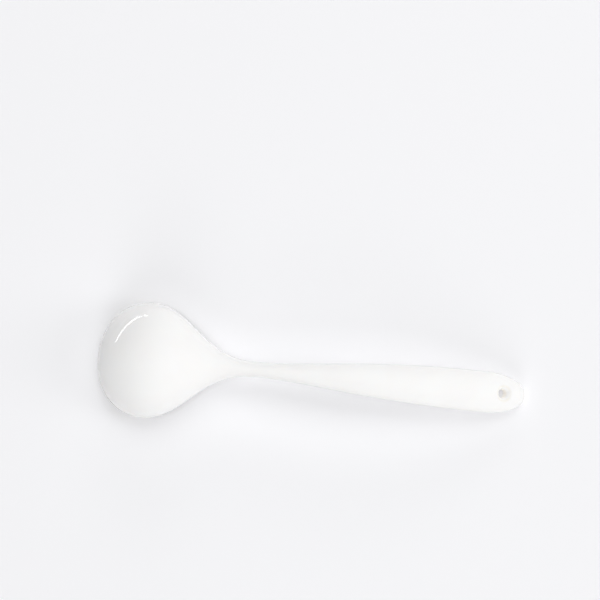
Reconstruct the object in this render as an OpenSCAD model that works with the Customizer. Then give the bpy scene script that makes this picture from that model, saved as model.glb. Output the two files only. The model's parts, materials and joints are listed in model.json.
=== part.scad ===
// Cupping spoon in glazed porcelain, lying mouth down on a table.
// +X runs from the front of the bowl to the end of the handle and +Z is up.
// The origin is on the table, under the middle of the spoon.
// Places along the spoon are distances from the front of the bowl.

/* [Overall] */
// Length from the front of the bowl to the end of the handle
overall_l = 152; // [140:1:180]
// Rise of the rim from its front towards the neck, in degrees
rim_rise = 10; // [6:0.5:14]
// Fall of the handle at its end, in degrees
end_fall = 20; // [10:0.5:26]

/* [Bowl] */
// Widest width of the bowl, outside
bowl_w = 40.8; // [37:0.2:47]
// Distance from the front of the bowl to its widest place
bowl_front = 17.8; // [16:0.1:21]
// Fullness of the front's outline: 1 is an ellipse, and less is fuller
front_fullness = 0.93; // [0.85:0.01:1]
// Depth of the bowl from the rim to the crown of its back, outside
bowl_depth = 17.5; // [14:0.1:20]
// Thickness of the bowl's wall
wall = 2.7; // [2.5:0.1:3.4]
// Length of the mouth from the widest place to the neck's side
mouth_rear = 17.2; // [15:0.1:18]
// Radius of the rim's outer edge
rim_outer_r = 1.2; // [0.8:0.1:1.3]
// Radius of the rim's inner edge
rim_inner_r = 1.1; // [0.6:0.1:1.1]

/* [Neck] */
// Length of the shoulder, from the bowl's widest place to the neck's narrowest
shoulder_l = 38.2; // [33:0.1:44]
// Width of the neck at its narrowest place
neck_w = 5.2; // [5:0.1:8]
// Thickness of the neck there, from face to back
neck_t = 6.4; // [5.5:0.1:8]
// How far the bowl's fullness reaches into the shoulder
shoulder_reach = 14.7; // [11:0.1:16]
// How far the neck's slimness reaches into the shoulder
neck_reach = 18.9; // [15:0.1:23]

/* [Handle] */
// Widest width of the handle
handle_w = 14.4; // [13:0.1:18]
// Thickness of the handle at its widest place, from face to back
handle_t = 5.8; // [5:0.1:7]
// Length of the rounded end beyond the widest place
end_l = 15.5; // [13:0.5:17]
// Fullness of the end's outline: 1 is an ellipse, and less is fuller
end_fullness = 0.84; // [0.75:0.01:1]
// How far the neck's slimness reaches into the handle
handle_neck_reach = 20.6; // [16:0.1:28]
// How far the widest width reaches towards the neck
handle_wide_reach = 44.9; // [36:0.1:50]
// Radius of the end's edge, from face to back
end_edge_r = 2.9; // [2.2:0.1:3.4]

/* [Hanging hole] */
// Diameter of the hole
hole_d = 2.8; // [2.6:0.1:5]
// Distance from the middle of the hole to the end of the handle
hole_from_end = 9; // [7.5:0.1:11]
// Depth of the flare at each end of the hole
hole_flare = 1.4; // [0.3:0.1:1.6]

/* [Joint] */
// Distance from the mouth to the plane where the handle is joined on
joint_back = 8.5; // [7.5:0.1:10]
// Diameter of the handle's spigot
spigot_d = 4.4; // [3.5:0.1:4.6]
// Length of the handle's spigot
spigot_l = 4.6; // [3.5:0.1:4.8]
// Thickness of the slip between the spigot and its socket
slip_t = 0.3; // [0.2:0.05:0.5]

/* [Hidden] */
$fn = 64;

porcelain_white = "#f7f6f3";
slip_white = "#ece8df";

// Height of the widest line above the face, as a share of the section's thickness
neck_edge_share = 0.5;
handle_edge_share = 0.42;
// Share of the half width that the face's rounded edge takes on the neck and handle
face_round_share = 0.96;

// Number of sections along each stretch
front_sections = 13;
shoulder_sections = 18;
handle_sections = 16;
end_sections = 10;
// Number of steps around a section
back_steps = 28;
edge_steps = 5;
face_steps = 6;
// Number of steps around the mouth, up its wall and around its rim
mouth_steps = 56;
mouth_rises = 13;
rim_steps = 4;
// Length by which a cutting shape runs past what it cuts
overrun = 3;
// Distance over which the slope of the face line is measured
slope_step = 1;

neck_at = bowl_front + shoulder_l;
joint_at = bowl_front + mouth_rear + joint_back;
half_bowl = bowl_w / 2;
half_neck = neck_w / 2;
half_handle = handle_w / 2;
end_at = overall_l - end_l;
hole_at = overall_l - hole_from_end;
handle_edge = handle_t * handle_edge_share;
socket_d = spigot_d + 2 * slip_t;

// The rim is flat up to here, and the handle arches from here to its end
flat_l = bowl_front + mouth_rear + wall;
// Heights of the two lowest places above the face line, which both stand on the table
rim_low = rim_outer_r * (1 + tan(rim_rise) - 1 / cos(rim_rise));
end_lean = end_edge_r * tan(end_fall) / handle_edge;
end_low = end_edge_r * tan(end_fall) + handle_edge * (1 - norm([1, end_lean]));

// Share of the first of two values that is left at t, from 1 to 0 with flat ends
function fade(t) = pow(1 - t, 2) * (1 + 2 * t);
function mix(first, second, share) = first * share + second * (1 - share);
function bezier(a, b, c, d, t) =
    a * pow(1 - t, 3) + 3 * b * pow(1 - t, 2) * t + 3 * c * (1 - t) * t * t + d * pow(t, 3);
// Height of a round edge of radius r, as a share, at a distance from its tip
function edge_round(distance, r) = distance < r ? sqrt(1 - pow(1 - distance / r, 2)) : 1;

// Height of the face line above the table: straight along the rim, then one arch to the end
function rim_z(at) = at * tan(rim_rise) - rim_low;
function arch_z(at) =
    let (span = overall_l - flat_l, t = (at - flat_l) / span)
    mix(rim_z(flat_l), -end_low, fade(t))
    + span * t * (1 - t) * ((1 - t) * tan(rim_rise) + t * tan(end_fall));
function face_z(at) = at < flat_l ? rim_z(at) : arch_z(at);
// Turn about Y that brings +Z square to the face line
function lean(at) = atan((face_z(at - slope_step) - face_z(at + slope_step)) / (2 * slope_step));

// A section holds its place, half width, height of its widest line above the face line,
// rise of the back and drop of the face from that line, and the width of the face's round edge
function section_middle_z(s) = face_z(s[0]) + s[2] + (s[3] - s[4]) / 2;

// Places along the shoulder and the handle where t runs from 0 to 1
function shoulder_at(t) =
    bezier(bowl_front, bowl_front + shoulder_reach, neck_at - neck_reach, neck_at, t);
function handle_at(t) =
    bezier(neck_at, neck_at + handle_neck_reach, end_at - handle_wide_reach, end_at, t);

function front_section(angle) =
    let (at = bowl_front * (1 - cos(angle)), half = half_bowl * pow(sin(angle), front_fullness))
    [at, half, rim_outer_r, (bowl_depth - rim_outer_r) * sin(angle),
     rim_outer_r * edge_round(at, rim_outer_r), min(rim_outer_r, half * face_round_share)];

function shoulder_section(t) =
    let (share = fade(t), half = mix(half_bowl, half_neck, share),
         edge = mix(rim_outer_r, neck_t * neck_edge_share, share),
         thick = mix(bowl_depth, neck_t, share))
    [shoulder_at(t), half, edge, thick - edge, edge,
     mix(rim_outer_r, half * face_round_share, share)];

function handle_section(t) =
    let (share = fade(t), half = mix(half_neck, half_handle, share),
         thick = mix(neck_t, handle_t, share),
         edge = mix(neck_t * neck_edge_share, handle_edge, share))
    [handle_at(t), half, edge, thick - edge, edge, half * face_round_share];

function end_section(angle) =
    let (at = end_at + end_l * sin(angle), half = half_handle * pow(cos(angle), end_fullness),
         share = edge_round(overall_l - at, end_edge_r))
    [at, half, handle_edge, (handle_t - handle_edge) * share, handle_edge * share,
     half * face_round_share];

// Point of a section at y across and z above its widest line
function section_point(s, y, z) = [s[0], y, face_z(s[0]) + s[2] + z];

// Closed ring of points: over the back from +Y to -Y, then back along the face
function section_ring(s) =
    let (half = s[1], rise = s[3], drop = s[4], round = s[5], flat = half - round) concat(
        [for (i = [0:back_steps]) let (a = 180 * i / back_steps)
            section_point(s, half * cos(a), rise * sin(a))],
        [for (i = [1:edge_steps]) let (a = 90 * i / edge_steps)
            section_point(s, -flat - round * cos(a), -drop * sin(a))],
        [for (i = [1:face_steps - 1])
            section_point(s, flat * (2 * i / face_steps - 1), -drop)],
        [for (i = [edge_steps:-1:1]) let (a = 90 * i / edge_steps)
            section_point(s, flat + round * cos(a), -drop * sin(a))]);

// Solid through rings of points, closed to one point at each end.
// Each ring runs anticlockwise as seen from the end point's side.
module skin(rings, start, end) {
    count = len(rings[0]);
    last = len(rings) * count + 1;
    function index(ring, i) = 1 + ring * count + i % count;
    points = concat([start], [for (ring = rings) each ring], [end]);
    faces = concat(
        [for (i = [0:count - 1]) [0, index(0, i), index(0, i + 1)]],
        [for (ring = [0:len(rings) - 2], i = [0:count - 1])
            each [[index(ring, i), index(ring + 1, i), index(ring + 1, i + 1)],
                  [index(ring, i), index(ring + 1, i + 1), index(ring, i + 1)]]],
        [for (i = [0:count - 1])
            [index(len(rings) - 1, i), last, index(len(rings) - 1, i + 1)]]);
    polyhedron(points, faces);
}

// The whole outer form of the spoon, without its mouth and its hole
module spoon_form() {
    sections = concat(
        [for (i = [1:front_sections]) front_section(90 * i / front_sections)],
        [for (i = [1:shoulder_sections]) shoulder_section(i / shoulder_sections)],
        [for (i = [1:handle_sections]) handle_section(i / handle_sections)],
        [for (i = [1:end_sections - 1]) end_section(90 * i / end_sections)]);
    skin([for (s = sections) section_ring(s)],
         [0, 0, face_z(0) + rim_outer_r],
         [overall_l, 0, face_z(overall_l) + handle_edge]);
}

// One ring of the mouth: its wall moved out by grow and drawn in by a scale, at z above the rim
function mouth_ring(grow, scale, z) = [
    for (i = [0:mouth_steps - 1])
        let (a = 360 * i / mouth_steps,
             reach = cos(a) < 0 ? bowl_front - wall : mouth_rear,
             at = bowl_front + (reach + grow) * scale * cos(a))
        [at, (half_bowl - wall + grow) * scale * sin(a), rim_z(at) + z]];

// The hollow of the bowl, with a flared edge at the rim
module mouth() {
    hollow = bowl_depth - wall - rim_inner_r;
    rings = concat(
        [mouth_ring(rim_inner_r, 1, -overrun)],
        [for (i = [0:rim_steps - 1]) let (a = 90 * i / rim_steps)
            mouth_ring(rim_inner_r * (1 - sin(a)), 1, rim_inner_r * (1 - cos(a)))],
        [for (i = [0:mouth_rises - 1]) let (a = 90 * i / mouth_rises)
            mouth_ring(0, cos(a), rim_inner_r + hollow * sin(a))]);
    skin(rings, [bowl_front, 0, rim_z(bowl_front) - overrun],
         [bowl_front, 0, rim_z(bowl_front) + bowl_depth - wall]);
}

// The half of space on the bowl's side of the joint
module bowl_side() {
    size = 2 * overall_l;
    translate([joint_at - size, -size / 2, -size / 2]) cube(size);
}

// Value of t on the shoulder at a place along the spoon, by halving
function shoulder_t(at, low = 0, high = 1, steps = 24) =
    let (middle = (low + high) / 2)
    steps == 0 ? middle
    : shoulder_at(middle) < at ? shoulder_t(at, middle, high, steps - 1)
    : shoulder_t(at, low, middle, steps - 1);

// Rod along the joint's axis, from a distance behind the joint to one in front of it
module joint_rod(d, behind, ahead) {
    joint = shoulder_section(shoulder_t(joint_at));
    translate([joint_at - ahead, 0, section_middle_z(joint)])
        rotate([0, 90, 0]) cylinder(d = d, h = ahead + behind);
}

// The hanging hole, square to the handle, with a flare at the face and one at the back
module hole() {
    tilt = lean(hole_at);
    top = handle_t * cos(tilt) / 2 - hole_flare;
    translate([hole_at, 0, face_z(hole_at) + handle_t / 2]) rotate([0, tilt, 0]) {
        cylinder(d = hole_d, h = 2 * handle_t, center = true);
        for (side = [0, 180]) rotate([side, 0, 0]) translate([0, 0, top])
            cylinder(d1 = hole_d, d2 = hole_d + 2 * (hole_flare + overrun), h = hole_flare + overrun);
    }
}

// Moves the middle of the spoon to the origin
module placed() {
    translate([-overall_l / 2, 0, 0]) children();
}

// Bowl and shoulder, with the socket for the handle's spigot
module bowl() {
    color(porcelain_white) placed() difference() {
        intersection() {
            spoon_form();
            bowl_side();
        }
        mouth();
        joint_rod(socket_d, overrun, spigot_l + slip_t);
    }
}

// Neck and handle, with the spigot and the hanging hole
module handle() {
    color(porcelain_white) placed() union() {
        difference() {
            spoon_form();
            bowl_side();
            hole();
        }
        joint_rod(spigot_d, overrun, spigot_l);
    }
}

// Slip that fills the gap between the spigot and its socket and holds the two together
module luting_slip() {
    color(slip_white) placed() difference() {
        joint_rod(socket_d, 0, spigot_l + slip_t);
        joint_rod(spigot_d, overrun, spigot_l);
    }
}

bowl();
handle();
luting_slip();
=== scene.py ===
"""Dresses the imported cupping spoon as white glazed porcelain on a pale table.

The spoon lies mouth down along X with its back up and the front of its bowl at -X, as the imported
frame has it. Places along it are distances from the front of the bowl. All lengths are in metres.
"""

import json
import logging
import math
from dataclasses import dataclass, field
from enum import Enum
from typing import Any, Callable

import bmesh
import bpy
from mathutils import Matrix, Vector


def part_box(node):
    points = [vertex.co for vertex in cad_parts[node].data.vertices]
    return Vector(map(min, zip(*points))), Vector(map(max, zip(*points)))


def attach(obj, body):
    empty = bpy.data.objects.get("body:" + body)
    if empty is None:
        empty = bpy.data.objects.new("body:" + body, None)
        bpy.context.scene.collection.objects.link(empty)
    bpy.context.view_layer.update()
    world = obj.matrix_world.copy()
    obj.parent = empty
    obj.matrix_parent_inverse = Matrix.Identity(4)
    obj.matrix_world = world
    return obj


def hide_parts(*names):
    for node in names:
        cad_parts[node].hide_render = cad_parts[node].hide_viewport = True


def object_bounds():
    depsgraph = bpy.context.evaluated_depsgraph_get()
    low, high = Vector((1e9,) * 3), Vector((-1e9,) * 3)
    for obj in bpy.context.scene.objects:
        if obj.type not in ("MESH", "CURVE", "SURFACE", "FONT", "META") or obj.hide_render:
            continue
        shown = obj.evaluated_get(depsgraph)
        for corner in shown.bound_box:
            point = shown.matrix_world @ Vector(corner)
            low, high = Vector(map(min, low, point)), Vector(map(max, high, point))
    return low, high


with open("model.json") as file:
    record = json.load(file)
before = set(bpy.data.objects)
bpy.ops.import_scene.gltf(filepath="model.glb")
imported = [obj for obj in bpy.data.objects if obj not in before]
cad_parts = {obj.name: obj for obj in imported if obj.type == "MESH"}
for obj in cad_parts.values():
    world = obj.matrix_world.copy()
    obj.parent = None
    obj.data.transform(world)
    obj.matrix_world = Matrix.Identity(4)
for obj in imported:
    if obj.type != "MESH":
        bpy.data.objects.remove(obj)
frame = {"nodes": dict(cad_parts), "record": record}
CAD_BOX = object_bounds()

log = logging.getLogger("cupping_spoon")

MM = 0.001
# Two places closer than this count as one
TOUCH = 0.003 * MM
# Vertices around each ring of a piece, and the subdivision that rounds it
RING_STEPS = 32
SMOOTH_LEVELS = 2
# Subdivision draws a ring in by this much, so its vertices are set further out
RING_GAIN = 3 / (2 + math.cos(2 * math.pi / RING_STEPS))
# Faces that meet at less than this angle are shaded as one surface
SMOOTH_ANGLE = math.radians(38)
# A face looks up or down where the upright part of its normal is more than this
LEVEL_ENOUGH = 0.5
# Each piece is drawn this far past the joint, so that it is smooth where it is cut
JOINT_OVERLAP = 7 * MM
# The name of the attribute that says where the glaze is thin, from 0 to 1
EDGE_THINNESS = "edge_thinness"
QUARTER_TURN = math.pi / 2


class JointSide(Enum):
    """The two sides of the plane where the handle is luted to the bowl."""

    BOWL = "bowl"
    HANDLE = "handle"


class HoleSide(Enum):
    """The two sides of the handle where the hanging hole comes out, as the sign of their Z."""

    BACK = 1
    FACE = -1


class LampUse(Enum):
    """What a lamp is for: to light the spoon and the table, or to be mirrored in the glaze."""

    LIGHT = "light"
    MIRRORED = "mirrored"


# Colour and nodes


def linear(hex_colour: str) -> tuple[float, float, float, float]:
    """Turns an sRGB hex colour to linear light.

    Args:
        hex_colour: The colour as #rrggbb.

    Returns:
        Red, green, blue and an alpha of 1.
    """
    shares = [int(hex_colour[i : i + 2], 16) / 255 for i in (1, 3, 5)]
    lit = [s / 12.92 if s <= 0.04045 else ((s + 0.055) / 1.055) ** 2.4 for s in shares]
    return (lit[0], lit[1], lit[2], 1.0)


def add_node(
    tree: bpy.types.NodeTree,
    kind: str,
    settings: dict[str, Any] | None = None,
    **inputs: Any,
) -> bpy.types.Node:
    """Adds a node, sets it and links it.

    Args:
        tree: The node tree to add to.
        kind: The node's type name.
        settings: Attributes of the node itself.
        **inputs: Values or output sockets for its inputs, spaces in their names as underscores.
            A name that ends in a number, such as input_6, is the input of that index.

    Returns:
        The new node.
    """
    node = tree.nodes.new(kind)
    for name, value in (settings or {}).items():
        setattr(node, name, value)
    for name, value in inputs.items():
        last = name.rsplit("_", 1)[-1]
        socket = node.inputs[int(last) if last.isdigit() else name.replace("_", " ")]
        if isinstance(value, bpy.types.NodeSocket):
            tree.links.new(value, socket)
        else:
            socket.default_value = value
    return node


def mix_colours(
    tree: bpy.types.NodeTree, share: bpy.types.NodeSocket, first: Any, second: Any
) -> bpy.types.NodeSocket:
    """Mixes two colours.

    Args:
        tree: The node tree to add to.
        share: 0 for the first colour and 1 for the second.
        first: A colour, or the socket that gives it.
        second: A colour, or the socket that gives it.

    Returns:
        The socket that gives the mixed colour.
    """
    # For colours, this node has inputs 6 and 7 and output 2
    node = add_node(
        tree,
        "ShaderNodeMix",
        {"data_type": "RGBA"},
        Factor=share,
        input_6=first,
        input_7=second,
    )
    return node.outputs[2]


def per_metre(size_mm: float) -> float:
    """Gives the texture scale at which a pattern's features are about size_mm across."""
    return 1 / (size_mm * MM)


# Finishes


@dataclass(frozen=True)
class GlazedPorcelain:
    """White porcelain under a clear gloss glaze, dipped and fired.

    To the eye it is a warm white with soft clouding, a wet shine that ripples a little where the
    glaze ran, and a slightly creamier line along tight edges where the glaze drew thin.
    """

    name: str
    white: str = "#fdfdfc"
    cloud: str = "#fcfbfa"
    thin_edge: str = "#f8f5ee"
    ior: float = 1.5
    roughness: float = 0.07
    roughness_at_edges: float = 0.16
    cloud_mm: float = 16.0
    cloud_detail: float = 2.0
    # Between these levels of the noise, the white turns to the cloud's colour
    cloud_edges: tuple[float, float] = (0.35, 0.65)
    ripple_mm: float = 6.0
    ripple_detail: float = 1.0
    ripple_depth: float = 0.012 * MM
    ripple_strength: float = 0.5
    # Light enters the body a little, and red light goes furthest
    glow: float = 0.12
    glow_depth: float = 1.2 * MM
    glow_reach: tuple[float, float, float] = (1.0, 0.9, 0.75)

    def material(self) -> bpy.types.Material:
        """Makes the material.

        Returns:
            The glaze over its porcelain body.
        """
        made = bpy.data.materials.new(self.name)
        made.use_nodes = True
        tree = made.node_tree
        shader = tree.nodes["Principled BSDF"]
        place = add_node(tree, "ShaderNodeTexCoord").outputs["Object"]
        clouds = add_node(
            tree,
            "ShaderNodeTexNoise",
            Vector=place,
            Scale=per_metre(self.cloud_mm),
            Detail=self.cloud_detail,
        )
        soft = add_node(
            tree,
            "ShaderNodeMapRange",
            {"interpolation_type": "SMOOTHSTEP"},
            Value=clouds.outputs["Fac"],
            From_Min=self.cloud_edges[0],
            From_Max=self.cloud_edges[1],
        )
        body = mix_colours(tree, soft.outputs["Result"], linear(self.white), linear(self.cloud))
        thin = add_node(tree, "ShaderNodeAttribute", {"attribute_name": EDGE_THINNESS})
        colour = mix_colours(tree, thin.outputs["Fac"], body, linear(self.thin_edge))
        gloss = add_node(
            tree,
            "ShaderNodeMapRange",
            Value=thin.outputs["Fac"],
            To_Min=self.roughness,
            To_Max=self.roughness_at_edges,
        )
        ripples = add_node(
            tree,
            "ShaderNodeTexNoise",
            Vector=place,
            Scale=per_metre(self.ripple_mm),
            Detail=self.ripple_detail,
        )
        bump = add_node(
            tree,
            "ShaderNodeBump",
            Height=ripples.outputs["Fac"],
            Strength=self.ripple_strength,
            Distance=self.ripple_depth,
        )
        tree.links.new(colour, shader.inputs["Base Color"])
        tree.links.new(gloss.outputs["Result"], shader.inputs["Roughness"])
        tree.links.new(bump.outputs["Normal"], shader.inputs["Normal"])
        shader.inputs["IOR"].default_value = self.ior
        shader.inputs["Subsurface Weight"].default_value = self.glow
        shader.inputs["Subsurface Radius"].default_value = self.glow_reach
        shader.inputs["Subsurface Scale"].default_value = self.glow_depth
        return made


@dataclass(frozen=True)
class BarePorcelain:
    """Porcelain fired without glaze, as in a hole that is wiped clean and on luting slip.

    To the eye it is a dull cream with a chalky grain and no shine.
    """

    name: str
    cream: str = "#fdfbf7"
    shade: str = "#fbf8f2"
    roughness: float = 0.85
    # A real grain is about 0.05 mm and would not show, so it is drawn coarser
    grain_mm: float = 0.5
    grain_detail: float = 3.0
    grain_depth: float = 0.03 * MM

    def material(self) -> bpy.types.Material:
        """Makes the material.

        Returns:
            The bare body.
        """
        made = bpy.data.materials.new(self.name)
        made.use_nodes = True
        tree = made.node_tree
        shader = tree.nodes["Principled BSDF"]
        place = add_node(tree, "ShaderNodeTexCoord").outputs["Object"]
        grain = add_node(
            tree,
            "ShaderNodeTexNoise",
            Vector=place,
            Scale=per_metre(self.grain_mm),
            Detail=self.grain_detail,
        )
        colour = mix_colours(tree, grain.outputs["Fac"], linear(self.cream), linear(self.shade))
        bump = add_node(
            tree, "ShaderNodeBump", Height=grain.outputs["Fac"], Distance=self.grain_depth
        )
        tree.links.new(colour, shader.inputs["Base Color"])
        tree.links.new(bump.outputs["Normal"], shader.inputs["Normal"])
        shader.inputs["Roughness"].default_value = self.roughness
        return made


@dataclass(frozen=True)
class MattLaminate:
    """Matt white laminate, as on a table top.

    To the eye it is an even, faintly cool white that takes soft shadows and mirrors nothing.
    """

    name: str
    colour: str = "#f9f9fb"
    roughness: float = 0.6

    def material(self) -> bpy.types.Material:
        """Makes the material.

        Returns:
            The laminate's surface.
        """
        made = bpy.data.materials.new(self.name)
        made.use_nodes = True
        shader = made.node_tree.nodes["Principled BSDF"]
        shader.inputs["Base Color"].default_value = linear(self.colour)
        shader.inputs["Roughness"].default_value = self.roughness
        return made


# The form that the pieces share


def fade(t: float) -> float:
    """Gives the share that is left at t, from 1 at 0 to 0 at 1, with flat ends."""
    return (1 - t) ** 2 * (1 + 2 * t)


def mix(first: float, second: float, share: float) -> float:
    """Gives first and second in the proportion of share to the rest."""
    return first * share + second * (1 - share)


def bezier(a: float, b: float, c: float, d: float, t: float) -> float:
    """Gives the place at t on a cubic curve from a to d."""
    return a * (1 - t) ** 3 + 3 * b * (1 - t) ** 2 * t + 3 * c * (1 - t) * t * t + d * t**3


def edge_round(distance: float, radius: float) -> float:
    """Gives the height of a round edge, as a share of its radius, at a distance from its tip."""
    return math.sqrt(1 - (1 - distance / radius) ** 2) if distance < radius else 1.0


@dataclass(frozen=True)
class Section:
    """One section across the spoon: an arched back over a face.

    Attributes:
        at: Distance from the front of the bowl.
        half: Half of the width.
        level: Height of the widest line above the table.
        rise: Height of the back above the widest line.
        drop: Depth of the face below the widest line.
        flatness: 0 for an oval face, and 1 for a flat face with tight edges.
    """

    at: float
    half: float
    level: float
    rise: float
    drop: float
    flatness: float


@dataclass(frozen=True)
class SpoonForm:
    """Outer form of the spoon, from which the bowl and the handle take their sections.

    Attributes:
        front_x: The X of the front of the bowl.
        length: Length of the spoon.
        rim_rise: Rise of the rim towards the neck.
        end_fall: Fall of the handle at its end.
        bowl_front: Distance from the front of the bowl to its widest place.
        front_fullness: 1 for an elliptical front, and less for a fuller one.
        mouth_rear: Length of the mouth from the widest place to the neck's side.
        shoulder_reach: How far the bowl's fullness reaches into the shoulder.
        neck_reach: How far the neck's slimness reaches into the shoulder.
        neck_edge_share: Height of the neck's widest line, as a share of its thickness.
        handle_edge_share: Height of the handle's widest line, as a share of its thickness.
        handle_neck_reach: How far the neck's slimness reaches into the handle.
        handle_wide_reach: How far the widest width reaches towards the neck.
        end_length: Length of the rounded end beyond the widest place.
        end_fullness: 1 for an elliptical end, and less for a fuller one.
        end_edge: Radius of the end's edge, from face to back.
        flatness_fall: How soon the rim's flat face turns oval along the shoulder.
        shoulder_steps: Number of sections along the shoulder.
    """

    front_x: float
    length: float
    rim_rise: float = math.radians(10)
    end_fall: float = math.radians(20)
    bowl_half: float = 20.4 * MM
    bowl_front: float = 17.8 * MM
    front_fullness: float = 0.93
    bowl_depth: float = 17.5 * MM
    wall: float = 2.7 * MM
    mouth_rear: float = 17.2 * MM
    lip_radius: float = 1.2 * MM
    shoulder_length: float = 38.2 * MM
    shoulder_reach: float = 14.7 * MM
    neck_reach: float = 18.9 * MM
    neck_half: float = 2.6 * MM
    neck_thick: float = 6.4 * MM
    neck_edge_share: float = 0.5
    handle_half: float = 7.2 * MM
    handle_thick: float = 5.8 * MM
    handle_edge_share: float = 0.42
    handle_neck_reach: float = 20.6 * MM
    handle_wide_reach: float = 44.9 * MM
    end_length: float = 15.5 * MM
    end_fullness: float = 0.84
    end_edge: float = 2.9 * MM
    flatness_fall: float = 1.5
    shoulder_steps: int = 18

    @property
    def neck_at(self) -> float:
        """Place of the narrowest width."""
        return self.bowl_front + self.shoulder_length

    @property
    def end_at(self) -> float:
        """Place of the handle's widest width, where its end starts."""
        return self.length - self.end_length

    @property
    def handle_edge(self) -> float:
        """Height of the handle's widest line above its face."""
        return self.handle_thick * self.handle_edge_share

    def x(self, at: float) -> float:
        """Gives the X of a place along the spoon."""
        return self.front_x + at

    def rim_z(self, at: float) -> float:
        """Gives the height of the rim's plane, which tilts up towards the neck."""
        slope = math.tan(self.rim_rise)
        low = self.lip_radius * (1 + slope - 1 / math.cos(self.rim_rise))
        return at * slope - low

    def face_z(self, at: float) -> float:
        """Gives the height of the face: straight along the rim, then one arch to the end.

        Args:
            at: Distance from the front of the bowl.

        Returns:
            The height above the table.
        """
        flat = self.bowl_front + self.mouth_rear + self.wall
        if at < flat:
            return self.rim_z(at)
        fall = math.tan(self.end_fall)
        lean = self.end_edge * fall / self.handle_edge
        end_low = self.end_edge * fall + self.handle_edge * (1 - math.hypot(1, lean))
        span = self.length - flat
        t = (at - flat) / span
        swell = (1 - t) * math.tan(self.rim_rise) + t * fall
        return mix(self.rim_z(flat), -end_low, fade(t)) + span * t * (1 - t) * swell

    def front(self, angle: float) -> Section:
        """Gives a section of the bowl's front.

        Args:
            angle: 0 at the tip and a quarter turn at the bowl's widest place.

        Returns:
            The section.
        """
        at = self.bowl_front * (1 - math.cos(angle))
        return Section(
            at,
            self.bowl_half * math.sin(angle) ** self.front_fullness,
            self.face_z(at) + self.lip_radius,
            (self.bowl_depth - self.lip_radius) * math.sin(angle),
            self.lip_radius * edge_round(at, self.lip_radius),
            1.0,
        )

    def shoulder(self, t: float) -> Section:
        """Gives a section of the shoulder.

        Args:
            t: 0 at the bowl's widest place and 1 at the neck's narrowest.

        Returns:
            The section.
        """
        neck = self.neck_at
        at = bezier(
            self.bowl_front,
            self.bowl_front + self.shoulder_reach,
            neck - self.neck_reach,
            neck,
            t,
        )
        share = fade(t)
        edge = mix(self.lip_radius, self.neck_thick * self.neck_edge_share, share)
        thick = mix(self.bowl_depth, self.neck_thick, share)
        half = mix(self.bowl_half, self.neck_half, share)
        flatness = share**self.flatness_fall
        return Section(at, half, self.face_z(at) + edge, thick - edge, edge, flatness)

    def shoulder_sections(self) -> list[Section]:
        """Gives the shoulder's sections, from the neck towards the bowl's widest place."""
        return [self.shoulder(i / self.shoulder_steps) for i in range(self.shoulder_steps, 0, -1)]

    def handle(self, t: float) -> Section:
        """Gives a section of the handle.

        Args:
            t: 0 at the neck's narrowest place and 1 at the handle's widest.

        Returns:
            The section.
        """
        neck, wide = self.neck_at, self.end_at
        at = bezier(neck, neck + self.handle_neck_reach, wide - self.handle_wide_reach, wide, t)
        share = fade(t)
        edge = mix(self.neck_thick * self.neck_edge_share, self.handle_edge, share)
        thick = mix(self.neck_thick, self.handle_thick, share)
        half = mix(self.neck_half, self.handle_half, share)
        return Section(at, half, self.face_z(at) + edge, thick - edge, edge, 0.0)

    def end(self, at: float) -> Section:
        """Gives a section of the handle's rounded end.

        Args:
            at: Distance from the front of the bowl.

        Returns:
            The section.
        """
        angle = math.asin((at - self.end_at) / self.end_length)
        share = edge_round(self.length - at, self.end_edge)
        return Section(
            at,
            self.handle_half * math.cos(angle) ** self.end_fullness,
            self.face_z(at) + self.handle_edge,
            (self.handle_thick - self.handle_edge) * share,
            self.handle_edge * share,
            0.0,
        )

    def tip(self) -> Vector:
        """Gives the front point of the bowl."""
        return Vector((self.x(0), 0, self.face_z(0) + self.lip_radius))

    def heel(self) -> Vector:
        """Gives the end point of the handle."""
        return Vector((self.x(self.length), 0, self.face_z(self.length) + self.handle_edge))


# Pieces


def anywhere(co: Vector) -> bool:
    """Accepts any place."""
    return True


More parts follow.
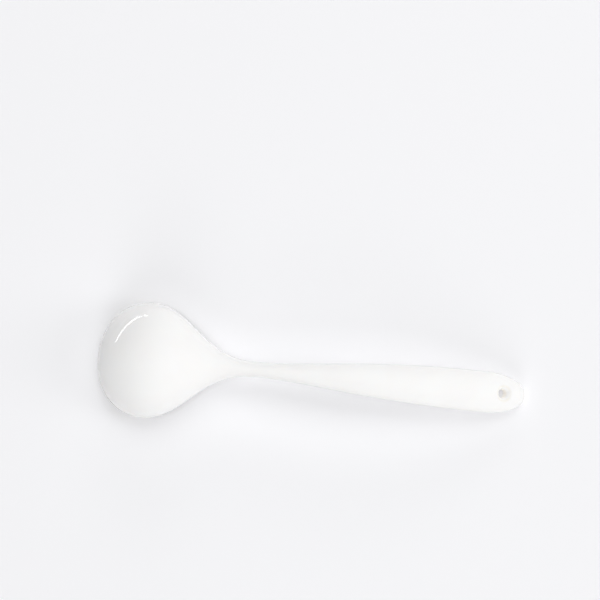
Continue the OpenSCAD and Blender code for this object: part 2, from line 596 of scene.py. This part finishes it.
@dataclass
class PorcelainPiece:
    """A porcelain piece, drawn ring by ring along the spoon and then rounded by subdivision."""

    form: SpoonForm
    joint_x: float
    piece: bpy.types.Object = field(init=False)

    def select(self, test: Callable[[Vector], bool]) -> None:
        """Selects the vertices whose place passes a test, and the edges and faces between them.

        Args:
            test: Says whether a vertex at a place is selected.
        """
        bpy.ops.mesh.select_mode(type="VERT")
        bpy.ops.mesh.select_all(action="DESELECT")
        mesh = bmesh.from_edit_mesh(self.piece.data)
        for vertex in mesh.verts:
            vertex.select = test(vertex.co)
        mesh.select_flush(True)
        bmesh.update_edit_mesh(self.piece.data)

    def select_faces(self, test: Callable[[Vector, Vector], bool]) -> None:
        """Selects the faces whose middle and normal pass a test.

        Args:
            test: Says whether a face with that middle and normal is selected.
        """
        bpy.ops.mesh.select_mode(type="FACE")
        bpy.ops.mesh.select_all(action="DESELECT")
        mesh = bmesh.from_edit_mesh(self.piece.data)
        for face in mesh.faces:
            face.select_set(test(face.calc_center_median(), face.normal))
        bmesh.update_edit_mesh(self.piece.data)

    def select_open_edges(self, test: Callable[[Vector], bool]) -> int:
        """Selects the edges that are open, or loose, and whose ends pass a test.

        Args:
            test: Says whether an edge with an end at a place may be selected.

        Returns:
            The number of edges selected.
        """
        bpy.ops.mesh.select_mode(type="EDGE")
        bpy.ops.mesh.select_all(action="DESELECT")
        mesh = bmesh.from_edit_mesh(self.piece.data)
        count = 0
        for edge in mesh.edges:
            if len(edge.link_faces) < 2 and all(test(v.co) for v in edge.verts):
                edge.select_set(True)
                count += 1
        bmesh.update_edit_mesh(self.piece.data)
        return count

    def draw(self, name: str, sections: list[Section]) -> None:
        """Draws the piece's skin through sections, from the handle's side to the bowl's.

        Args:
            name: Name of the piece.
            sections: The sections in order, of falling distance from the bowl's front.
        """
        first = sections[0]
        bpy.ops.object.select_all(action="DESELECT")
        bpy.ops.mesh.primitive_circle_add(
            vertices=RING_STEPS,
            radius=first.half,
            location=(self.form.x(first.at), 0, first.level),
            rotation=(0, QUARTER_TURN, 0),
        )
        self.piece = bpy.context.object
        self.piece.name = name
        bpy.ops.object.transform_apply(location=True, rotation=True, scale=True)
        bpy.ops.object.mode_set(mode="EDIT")
        round_section = Section(first.at, first.half, first.level, first.half, first.half, 0.0)
        self.shape_ring(round_section, first, RING_GAIN)
        for old, new in zip(sections, sections[1:]):
            step = (new.at - old.at, 0, new.level - old.level)
            bpy.ops.mesh.extrude_region_move(TRANSFORM_OT_translate={"value": step})
            self.shape_ring(old, new)

    def shape_ring(self, old: Section, new: Section, gain: float = 1.0) -> None:
        """Shapes the ring at a section, which still has the last section's shape.

        Args:
            old: The section whose shape the ring has.
            new: The section at whose place it is, and whose shape it gets.
            gain: How much wider and higher the ring is made than the section.
        """
        x = self.form.x(new.at)
        middle = (x, 0, new.level)
        self.select(lambda co: abs(co.x - x) < TOUCH)
        bpy.ops.transform.resize(value=(1, gain * new.half / old.half, 1), center_override=middle)
        self.select(lambda co: abs(co.x - x) < TOUCH and co.z > new.level + TOUCH)
        bpy.ops.transform.resize(value=(1, 1, gain * new.rise / old.rise), center_override=middle)
        self.select(lambda co: abs(co.x - x) < TOUCH and co.z < new.level - TOUCH)
        bpy.ops.transform.resize(value=(1, 1, new.drop / old.drop), center_override=middle)
        if new.flatness > old.flatness:
            round_left = (1 - new.flatness) / (1 - old.flatness)
            bottom = (x, 0, new.level - new.drop)
            bpy.ops.transform.resize(value=(1, 1, round_left), center_override=bottom)
        self.select(lambda co: abs(co.x - x) < TOUCH)

    def close_ring(self, point: Vector) -> None:
        """Closes the selected ring to a point.

        Args:
            point: The place where the ring ends.
        """
        bpy.ops.mesh.extrude_region_move()
        bpy.ops.transform.resize(value=(0, 0, 0), center_override=point)
        bpy.ops.mesh.merge(type="CENTER")

    def face_outwards(self) -> None:
        """Turns all faces outwards."""
        bpy.ops.mesh.select_all(action="SELECT")
        bpy.ops.mesh.normals_make_consistent(inside=False)

    def smooth(self) -> None:
        """Rounds the mesh by subdivision, and leaves edit mode."""
        bpy.ops.object.mode_set(mode="OBJECT")
        bpy.ops.object.modifier_add(type="SUBSURF")
        rounding = self.piece.modifiers[-1]
        rounding.levels = SMOOTH_LEVELS
        rounding.render_levels = SMOOTH_LEVELS
        bpy.ops.object.modifier_apply(modifier=rounding.name)

    def part_at_joint(self, keep: JointSide, radius: float, reach: float, axis_z: float) -> None:
        """Cuts the piece at the joint's plane, and runs a round spigot or socket from there.

        Args:
            keep: The side of the joint that stays.
            radius: Radius of the spigot or socket.
            reach: How far it runs towards the bowl.
            axis_z: Height of its axis.
        """
        bpy.ops.object.mode_set(mode="EDIT")
        bpy.ops.mesh.select_all(action="SELECT")
        bpy.ops.mesh.bisect(
            plane_co=(self.joint_x, 0, 0),
            plane_no=(1, 0, 0),
            clear_outer=keep is JointSide.BOWL,
            clear_inner=keep is JointSide.HANDLE,
        )
        count = self.select_open_edges(anywhere)
        bpy.ops.mesh.primitive_circle_add(
            vertices=count,
            radius=radius,
            location=(self.joint_x, 0, axis_z),
            rotation=(0, QUARTER_TURN, 0),
        )
        self.select_open_edges(anywhere)
        bpy.ops.mesh.bridge_edge_loops()
        self.select_open_edges(anywhere)
        bpy.ops.mesh.extrude_region_move(TRANSFORM_OT_translate={"value": (-reach, 0, 0)})
        bpy.ops.mesh.edge_face_add()
        self.face_outwards()
        bpy.ops.object.mode_set(mode="OBJECT")

    def mark_thin_edges(self, slack_radius: float = 2.2 * MM, tight_radius: float = 0.9 * MM) -> None:
        """Writes where the glaze is thin, which is along tight edges, as a vertex attribute.

        The glaze runs over the joint, so the joint's own edge doesn't count.

        Args:
            slack_radius: An edge of this radius or more has its full glaze.
            tight_radius: An edge of this radius or less has the least glaze.
        """
        mesh = bmesh.new()
        mesh.from_mesh(self.piece.data)
        mesh.normal_update()
        layer = mesh.verts.layers.float.new(EDGE_THINNESS)
        slack, tight = 1 / slack_radius, 1 / tight_radius
        for vertex in mesh.verts:
            bends = []
            for edge in vertex.link_edges:
                other = edge.other_vert(vertex)
                apart = vertex.co - other.co
                bends.append((vertex.normal - other.normal).dot(apart) / apart.length_squared)
            share = (max(bends) - slack) / (tight - slack)
            at_joint = abs(vertex.co.x - self.joint_x) < slack_radius
            vertex[layer] = 0.0 if at_joint else min(1.0, max(0.0, share))
        mesh.to_mesh(self.piece.data)
        mesh.free()

    def dress(self, finish: GlazedPorcelain, node: str, slot: str) -> None:
        """Gives the piece its glaze and its place in the frame.

        Args:
            finish: The glaze.
            node: The CAD node that the piece stands for.
            slot: The record's material slot; not used.
        """
        bpy.ops.object.select_all(action="DESELECT")
        self.piece.select_set(True)
        bpy.context.view_layer.objects.active = self.piece
        bpy.ops.object.shade_smooth_by_angle(angle=SMOOTH_ANGLE)
        self.mark_thin_edges()
        self.piece.data.materials.clear()
        self.piece.data.materials.append(finish.material())
        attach(self.piece, "root")
        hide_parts(node)
        log.info("%s: %d faces", self.piece.name, len(self.piece.data.polygons))


@dataclass
class Bowl(PorcelainPiece):
    """The bowl and its shoulder, with the mouth and the socket for the handle."""

    front_steps: int = 13
    # How far the mouth's lowest ring stands out from the wall's inner line
    lip_flare: float = 0.65 * MM
    # The lip ends in a ring at this height above the rim, a little wider than the wall
    lip_height: float = 1.0 * MM
    lip_widening: float = 1.003
    # The wall starts at this height above the rim
    wall_base: float = 1.1 * MM
    wall_steps: int = 10

    def sections(self) -> list[Section]:
        """Gives the sections from just past the joint to the tip."""
        form = self.form
        last_x = self.joint_x + JOINT_OVERLAP
        near = [s for s in form.shoulder_sections() if form.x(s.at) < last_x]
        step = QUARTER_TURN / self.front_steps
        return near + [form.front(i * step) for i in range(self.front_steps, 0, -1)]

    def build(self) -> None:
        """Draws the outside, opens the mouth and rounds the whole."""
        self.draw("bowl_and_shoulder", self.sections())
        self.close_ring(self.form.tip())
        self.face_outwards()
        self.open_mouth()
        self.face_outwards()
        self.smooth()

    def open_mouth(self) -> None:
        """Takes the face out of the rim, and draws the lip and the hollow in its place."""
        form = self.form
        rows = [form.x(s.at) for s in self.sections()]
        front = max(x for x in rows if x < form.x(form.lip_radius))
        rear = min(x for x in rows if x > form.x(form.bowl_front + form.mouth_rear + form.wall))
        self.select_faces(
            lambda middle, normal: front < middle.x < rear and normal.z < -LEVEL_ENOUGH
        )
        bpy.ops.mesh.delete(type="FACE")

        def on_mouth(co: Vector) -> bool:
            """Says whether a place is in the mouth's stretch of the spoon."""
            return co.x < rear + TOUCH

        count = self.select_open_edges(on_mouth)
        centre_x, plane_z = form.x(form.bowl_front), form.rim_z(form.bowl_front)
        half = form.bowl_half - form.wall + self.lip_flare
        # How far the ring reaches towards the front, at -X, and towards the neck
        reaches = {
            -1: form.bowl_front - form.wall + self.lip_flare,
            1: form.mouth_rear + self.lip_flare,
        }
        # Half a step's turn puts a vertex on the spoon's middle line at either end
        turn = 0 if count % 4 == 0 else math.pi / count
        middle = (centre_x, 0, plane_z)
        bpy.ops.mesh.primitive_circle_add(
            vertices=count, radius=half, location=middle, rotation=(0, 0, turn)
        )
        for side, reach in reaches.items():
            self.select_loose(lambda co: (co.x - centre_x) * side > TOUCH)
            stretch = reach / half / math.cos(form.rim_rise)
            bpy.ops.transform.resize(value=(stretch, 1, 1), center_override=middle)
        self.select_loose(anywhere)
        bpy.ops.transform.rotate(value=form.rim_rise, orient_axis="Y", center_override=middle)
        self.select_open_edges(on_mouth)
        bpy.ops.mesh.bridge_edge_loops()
        self.select_open_edges(on_mouth)
        self.draw_hollow(half)

    def select_loose(self, test: Callable[[Vector], bool]) -> None:
        """Selects the vertices that belong to no face and whose place passes a test.

        Args:
            test: Says whether a vertex at a place is selected.
        """
        bpy.ops.mesh.select_mode(type="VERT")
        bpy.ops.mesh.select_all(action="DESELECT")
        mesh = bmesh.from_edit_mesh(self.piece.data)
        for vertex in mesh.verts:
            vertex.select = not vertex.link_faces and test(vertex.co)
        mesh.select_flush(True)
        bmesh.update_edit_mesh(self.piece.data)

    def draw_hollow(self, half: float) -> None:
        """Draws the hollow from the selected ring at the rim up to its crown.

        Args:
            half: Half width of the ring at the rim.
        """
        form = self.form
        centre_x, plane_z = form.x(form.bowl_front), form.rim_z(form.bowl_front)
        inner_half = form.bowl_half - form.wall
        hollow = form.bowl_depth - form.wall - self.wall_base
        rings = [(inner_half * self.lip_widening, self.lip_height)]
        for i in range(1, self.wall_steps):
            angle = QUARTER_TURN * i / self.wall_steps
            rings.append((inner_half * math.cos(angle), self.wall_base + hollow * math.sin(angle)))
        old_half, old_z = half, 0.0
        for new_half, new_z in rings:
            bpy.ops.mesh.extrude_region_move(TRANSFORM_OT_translate={"value": (0, 0, new_z - old_z)})
            shrink = new_half / old_half
            bpy.ops.transform.resize(
                value=(shrink, shrink, shrink), center_override=(centre_x, 0, plane_z + new_z)
            )
            old_half, old_z = new_half, new_z
        self.close_ring(Vector((centre_x, 0, plane_z + form.bowl_depth - form.wall)))


@dataclass
class Handle(PorcelainPiece):
    """The neck and the handle, with the spigot and the hanging hole."""

    hole_at: Vector
    hole_axis: Vector
    hole_radius: float
    handle_steps: int = 16
    end_steps: int = 7
    # Rows of the skin on either side of the hole, and their distance
    hole_rows: int = 3
    hole_pitch: float = 1.2 * MM
    # The patch that the hole takes ends by this share of a row past its last row
    patch_margin: float = 0.25
    # The hole's rounded edge as rings: how much wider than the hole, and how deep below the skin
    mouth_rings: tuple[tuple[float, float], ...] = (
        (1.55 * MM, 0.0),
        (0.9 * MM, 0.3 * MM),
        (0.32 * MM, 0.9 * MM),
        (0.04 * MM, 1.6 * MM),
        (0.0, 2.2 * MM),
    )

    def sections(self) -> list[Section]:
        """Gives the sections from the end of the handle to just past the joint."""
        form = self.form
        hole = self.hole_at.x - form.front_x
        rows = [hole + i * self.hole_pitch for i in range(-self.hole_rows, self.hole_rows + 1)]
        turn = math.asin((rows[-1] - form.end_at) / form.end_length)
        step = (QUARTER_TURN - turn) / self.end_steps
        angles = [turn + step * i for i in range(1, self.end_steps)]
        past = [form.end_at + form.end_length * math.sin(angle) for angle in angles]
        before = [(form.end_at + rows[0]) / 2]
        ends = [form.end(at) for at in reversed(before + rows + past)]
        handle = [form.handle(i / self.handle_steps) for i in range(self.handle_steps, 0, -1)]
        last_x = self.joint_x - JOINT_OVERLAP
        near = [s for s in form.shoulder_sections() if form.x(s.at) > last_x]
        return ends + handle + near

    def build(self) -> None:
        """Draws the outside, pierces the hole and rounds the whole."""
        sections = self.sections()
        self.draw("neck_and_handle", sections)
        first_x = self.form.x(sections[0].at)
        self.select(lambda co: abs(co.x - first_x) < TOUCH)
        self.close_ring(self.form.heel())
        self.face_outwards()
        self.pierce()
        self.face_outwards()
        self.smooth()

    def pierce(self) -> None:
        """Cuts the hanging hole through the end, with rounded edges at the back and the face."""
        form, rows = self.form, self.hole_rows + self.patch_margin
        reach = rows * self.hole_pitch
        across = math.sin(rows * 2 * math.pi / RING_STEPS)

        def by_hole(co: Vector) -> bool:
            """Says whether a place is in the patch that the hole takes."""
            if abs(co.x - self.hole_at.x) > reach:
                return False
            return abs(co.y) < form.end(co.x - form.front_x).half * across

        self.select_faces(
            lambda middle, normal: by_hole(middle) and abs(normal.z) > LEVEL_ENOUGH
        )
        bpy.ops.mesh.delete(type="FACE")
        for side in HoleSide:
            self.round_edge(side, by_hole)
        self.select_open_edges(by_hole)
        bpy.ops.mesh.bridge_edge_loops()

    def from_axis(self, co: Vector) -> float:
        """Gives the distance of a place from the hole's axis."""
        offset = co - self.hole_at
        return (offset - self.hole_axis * offset.dot(self.hole_axis)).length

    def round_edge(self, side: HoleSide, by_hole: Callable[[Vector], bool]) -> None:
        """Draws the rounded edge of the hole on one side of the handle.

        Args:
            side: The side of the handle.
            by_hole: Says whether a place is in the hole's patch.
        """
        form, sign = self.form, side.value
        open_half = self.hole_radius + self.mouth_rings[0][0]
        # The axis leans, so it leaves the back and the face at different places
        half_thick = form.handle_thick * self.hole_axis.z / 2
        out = self.hole_at + self.hole_axis * (sign * half_thick)
        self.select_open_edges(lambda co: (co.z - self.hole_at.z) * sign > 0 and by_hole(co))
        mesh = bmesh.from_edit_mesh(self.piece.data)
        ring = [v for v in mesh.verts if v.select]
        for vertex in ring:
            angle = math.atan2(vertex.co.y, vertex.co.x - self.hole_at.x)
            x = out.x + open_half * math.cos(angle) * self.hole_axis.z
            y = open_half * math.sin(angle)
            section = form.end(x - form.front_x)
            height = section.rise if side is HoleSide.BACK else section.drop
            z = section.level + sign * height * math.sqrt(1 - (y / section.half) ** 2)
            vertex.co = (x, y, z)
        bmesh.update_edit_mesh(self.piece.data)
        offset = sum((v.co for v in ring), Vector()) / len(ring) - self.hole_at
        centre = self.hole_at + self.hole_axis * offset.dot(self.hole_axis)
        old_half, old_depth = open_half, 0.0
        for wider, depth in self.mouth_rings[1:]:
            step = self.hole_axis * (old_depth - depth) * sign
            bpy.ops.mesh.extrude_region_move(TRANSFORM_OT_translate={"value": step})
            centre = centre + step
            new_half = self.hole_radius + wider
            shrink = new_half / old_half
            bpy.ops.transform.resize(value=(shrink, shrink, shrink), center_override=centre)
            old_half, old_depth = new_half, depth

    def bare_bore(self, finish: BarePorcelain, margin: float = 0.12 * MM) -> None:
        """Leaves the hole's wall unglazed.

        Args:
            finish: The bare body.
            margin: How far from the wall the glaze starts.
        """
        self.piece.data.materials.append(finish.material())
        for face in self.piece.data.polygons:
            if self.from_axis(face.center) < self.hole_radius + margin:
                face.material_index = 1


@dataclass
class LutedJoint:
    """The slip between the handle's spigot and its socket, which stays as the CAD has it."""

    node: bpy.types.Object
    slip: float = 0.3 * MM
    joint_x: float = field(init=False)
    axis_z: float = field(init=False)
    socket_radius: float = field(init=False)
    socket_reach: float = field(init=False)

    def __post_init__(self) -> None:
        """Reads the joint's place from the slip's own box."""
        low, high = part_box(self.node.name)
        self.joint_x = high.x
        self.axis_z = (low.z + high.z) / 2
        self.socket_radius = (high.y - low.y) / 2
        self.socket_reach = high.x - low.x

    def dress(self, finish: BarePorcelain) -> None:
        """Gives the slip its bare finish."""
        self.node.data.materials.clear()
        self.node.data.materials.append(finish.material())
        log.info("%s: kept from the frame", self.node.name)


# Studio


@dataclass(frozen=True)
class SoftBox:
    """A rectangular studio lamp that points at the spoon and is itself not seen.

    Attributes:
        name: Name of the lamp.
        azimuth: Where it hangs around the spoon, in degrees from +X towards +Y.
        elevation: How high it hangs, in degrees above the table.
        distance: How far away it hangs.
        width: Its width.
        height: Its height.
        share: The light it gives a level surface, as a share of what shows white as white.
        use: What it is for.
    """

    name: str
    azimuth: float
    elevation: float
    distance: float
    width: float
    height: float
    share: float
    use: LampUse = LampUse.LIGHT

    def build(self, aim: Vector) -> None:
        """Hangs the lamp.

        Args:
            aim: The place it points at.
        """
        around, up = math.radians(self.azimuth), math.radians(self.elevation)
        away = Vector(
            (math.cos(around) * math.cos(up), math.sin(around) * math.cos(up), math.sin(up))
        )
        lamp = bpy.data.lights.new(self.name, "AREA")
        lamp.shape = "RECTANGLE"
        lamp.size, lamp.size_y = self.width, self.height
        # Light falls off with the square of the distance, and on a level surface as it comes in lower
        lamp.energy = self.share * (math.pi * self.distance) ** 2 / math.sin(up)
        held = bpy.data.objects.new(self.name, lamp)
        held.location = aim + away * self.distance
        held.rotation_euler = away.to_track_quat("Z", "Y").to_euler()
        held.visible_camera = False
        held.visible_glossy = self.use is LampUse.MIRRORED
        held.visible_diffuse = self.use is LampUse.LIGHT
        bpy.context.scene.collection.objects.link(held)


@dataclass(frozen=True)
class Studio:
    """The pale table, the soft light and the camera above the spoon's back."""

    # Where the camera points, from the spoon's middle, and how wide a strip it sees at which height
    aim: tuple[float, float] = (-6.4 * MM, 26.2 * MM)
    seen_width: float = 212.6 * MM
    seen_height: float = 5 * MM
    turn: float = math.radians(5.4)
    # How far the camera leans from straight above towards the front
    lean: float = math.radians(5.4)
    lens: float = 70.0
    sensor: float = 36.0
    table: MattLaminate = MattLaminate("matt_white_laminate")
    table_size: float = 3.0
    surround: str = "#f3f3f5"
    light_bounces: int = 12
    ambient: float = 0.2
    ambient_colour: str = "#ffffff"
    lamps: tuple[SoftBox, ...] = (
        SoftBox("overhead", 195, 83, 2.4, 0.6, 0.6, 0.182),
        SoftBox("rear", 90, 55, 2.7, 1.5, 1.5, 0.186),
        SoftBox("low_rear", 90, 18, 2.7, 1.5, 0.6, 0.038),
        SoftBox("rear_right", 45, 55, 2.7, 1.5, 1.5, 0.1),
        SoftBox("right", 0, 25, 3.0, 1.2, 1.2, 0.082),
        SoftBox("front_right", 315, 55, 2.7, 1.5, 1.5, 0.092),
        SoftBox("front", 270, 29, 2.7, 1.5, 1.5, 0.126),
        SoftBox("low_front", 270, 12, 3.0, 1.2, 1.2, 0.01),
        SoftBox("strip", 138, 2, 1.0, 1.0, 0.027, 0.0047, LampUse.MIRRORED),
    )

    def build(self) -> None:
        """Sets the table, the surroundings, the lamps and the camera."""
        self.lay_table()
        self.surroundings()
        for lamp in self.lamps:
            lamp.build(aim=Vector())
        self.camera()
        scene = bpy.context.scene
        scene.view_settings.view_transform = "Standard"
        # White porcelain passes light on many times, which keeps its hole and hollow bright
        scene.cycles.diffuse_bounces = self.light_bounces

    def lay_table(self) -> None:
        """Lays the pale table top under the spoon."""
        bpy.ops.object.select_all(action="DESELECT")
        bpy.ops.mesh.primitive_plane_add(size=self.table_size)
        top = bpy.context.object
        top.name = "table_top"
        top.data.materials.append(self.table.material())

    def surroundings(self) -> None:
        """Makes the room: an even light, and a pale background where it is seen or mirrored."""
        world = bpy.data.worlds.new("pale_room")
        bpy.context.scene.world = world
        world.use_nodes = True
        tree = world.node_tree
        tree.nodes.clear()
        path = add_node(tree, "ShaderNodeLightPath")
        seen = path.outputs["Is Camera Ray"]
        for ray in ("Is Glossy Ray", "Is Transmission Ray"):
            both = add_node(
                tree,
                "ShaderNodeMath",
                {"operation": "MAXIMUM"},
                input_0=seen,
                input_1=path.outputs[ray],
            )
            seen = both.outputs[0]
        light = add_node(
            tree,
            "ShaderNodeBackground",
            Color=linear(self.ambient_colour),
            Strength=self.ambient,
        )
        pale = add_node(tree, "ShaderNodeBackground", Color=linear(self.surround), Strength=1.0)
        either = add_node(
            tree,
            "ShaderNodeMixShader",
            input_0=seen,
            input_1=light.outputs[0],
            input_2=pale.outputs[0],
        )
        add_node(tree, "ShaderNodeOutputWorld", Surface=either.outputs[0])

    def camera(self) -> None:
        """Puts the camera above, turned so that the spoon lies as photographed."""
        view = bpy.data.cameras.new("camera")
        view.lens, view.sensor_width = self.lens, self.sensor
        stand = bpy.data.objects.new("camera", view)
        stand.rotation_euler = (self.lean, 0, self.turn)
        away = stand.rotation_euler.to_matrix() @ Vector((0, 0, 1))
        distance = self.seen_width * self.lens / self.sensor
        stand.location = Vector((*self.aim, self.seen_height)) + away * distance
        bpy.context.scene.collection.objects.link(stand)
        bpy.context.scene.camera = stand


def main() -> None:
    """Builds the pieces and the studio."""
    logging.basicConfig(level=logging.INFO, format="%(name)s: %(message)s")
    low, high = CAD_BOX
    form = SpoonForm(front_x=low.x, length=high.x - low.x)
    hole = frame["record"]["mounts"][0]
    joint = LutedJoint(frame["nodes"]["luting_slip"])

    bowl = Bowl(form, joint.joint_x)
    bowl.build()
    bowl.part_at_joint(JointSide.BOWL, joint.socket_radius, joint.socket_reach, joint.axis_z)
    bowl.dress(GlazedPorcelain("glazed_porcelain_bowl"), "bowl", "bowl_glaze")

    handle = Handle(
        form,
        joint.joint_x,
        Vector(hole["pos_m"]),
        Vector(hole["axis"]).normalized(),
        hole["dims"]["r_mm"] * MM,
    )
    handle.build()
    spigot_radius = joint.socket_radius - joint.slip
    spigot_reach = joint.socket_reach - joint.slip
    handle.part_at_joint(JointSide.HANDLE, spigot_radius, spigot_reach, joint.axis_z)
    handle.dress(GlazedPorcelain("glazed_porcelain_handle"), "handle", "handle_glaze")
    handle.bare_bore(BarePorcelain("biscuit_bore"))

    joint.dress(BarePorcelain("biscuit_slip"))
    Studio().build()


if __name__ == "__main__":
    main()
